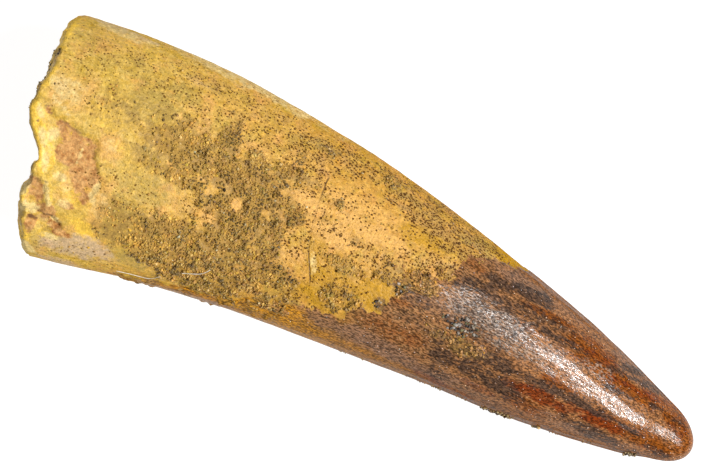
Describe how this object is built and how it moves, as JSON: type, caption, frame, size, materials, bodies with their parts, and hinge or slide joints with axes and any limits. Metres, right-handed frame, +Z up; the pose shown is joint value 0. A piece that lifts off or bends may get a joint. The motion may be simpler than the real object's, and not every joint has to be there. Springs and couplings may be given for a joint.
{
  "type": "fossil spinosaurus tooth",
  "caption": "Fossil tooth lying on its side: a smooth pointed crown on a sand-crusted root with a broken base.",
  "frame": {"origin": "the flat spot on the underside that the tooth rests on, near the spot's middle", "axes": "+X along the tooth from the broken root to the tip, +Y to the bowed front edge, +Z up"},
  "size_m": [0.0799, 0.0271, 0.021],
  "materials": {
    "tooth": "fossil dentine and enamel: satin ochre root, glossy brown crown",
    "sand": "olive-brown sand grains cemented to the surface",
    "lint": "fine white cotton fibres caught on the sand"
  },
  "bodies": {
    "root": {"tooth": "tooth"}
  },
  "joints": []
}
